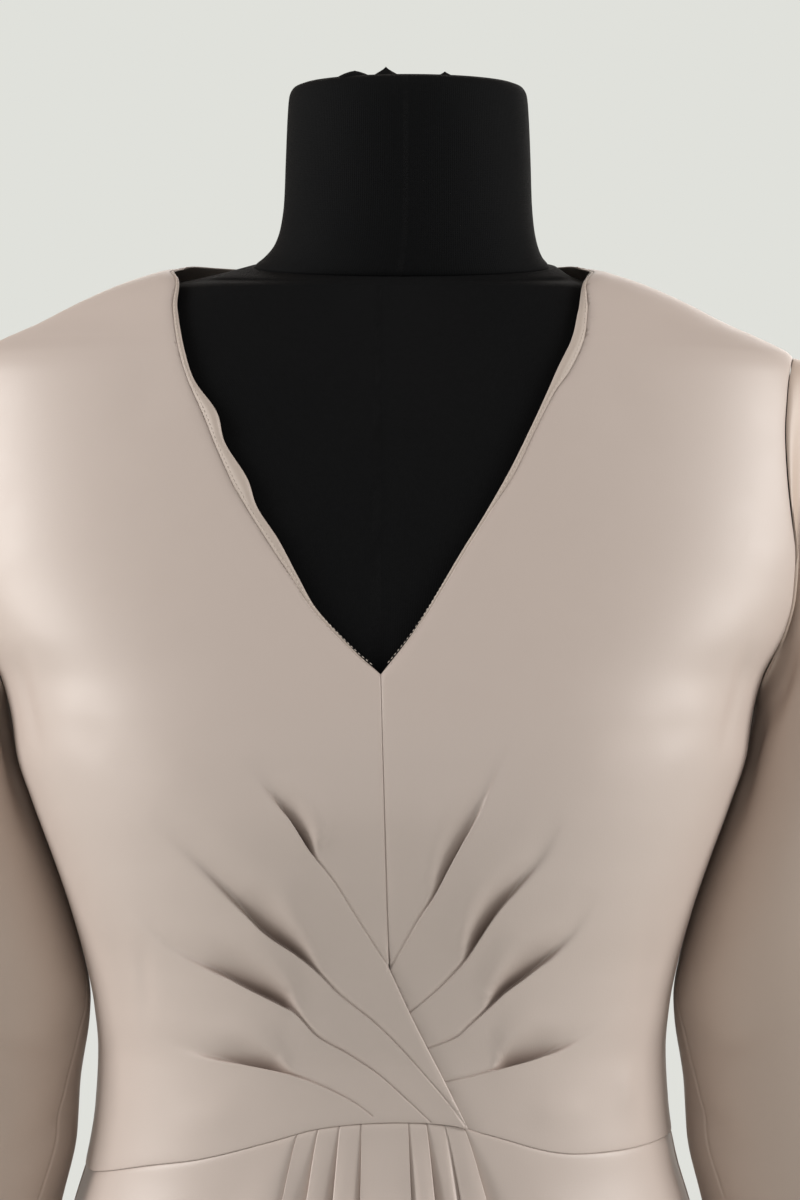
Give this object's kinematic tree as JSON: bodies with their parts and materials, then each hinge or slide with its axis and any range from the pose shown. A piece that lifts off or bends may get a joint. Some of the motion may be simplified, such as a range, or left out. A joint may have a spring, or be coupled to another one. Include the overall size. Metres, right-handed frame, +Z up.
{
  "type": "silk dress on a dress form",
  "caption": "Knee-length silk dress with a deep V neck, tucked bodice, pleated skirt front and long sleeves, worn by a black limbless dress form on a pole with a round base.",
  "frame": {"origin": "middle of the base plate's underside, on the floor", "axes": "+Z up along the pole, -Y the front of the dress, +X the wearer's left"},
  "size_m": [0.59, 0.38, 1.5323],
  "materials": {
    "silk": "soft satin sheen",
    "silk_facing": "matte reverse of the silk",
    "zip_tape": "matte",
    "zip_metal": "satin enamel",
    "black_jersey": "matte",
    "painted_metal": "satin black",
    "brushed_steel": "brushed"
  },
  "bodies": {
    "dress_on_form": {"bodice_front_right": "silk", "bodice_front_left": "silk", "bodice_back_right": "silk", "bodice_back_left": "silk", "sleeve_right": "silk", "sleeve_left": "silk", "skirt_front": "silk", "skirt_back_right": "silk", "skirt_back_left": "silk", "facing_front_right": "silk_facing", "facing_front_left": "silk_facing", "facing_back_right": "silk_facing", "facing_back_left": "silk_facing", "zip_tape": "zip_tape", "zip_slider": "zip_metal", "form_torso": "black_jersey", "form_neck": "black_jersey", "stand_collar": "painted_metal", "stand_pole": "brushed_steel", "stand_base": "painted_metal"},
    "zip_pull_tab": {"zip_pull": "zip_metal"}
  },
  "joints": [
    {"name": "zip_pull_hinge", "type": "hinge", "parent": "dress_on_form", "child": "zip_pull_tab", "pos_m": [0, 0.08628, 1.43596], "axis": [1, 0, 0], "range_deg": [0, 150]}
  ]
}
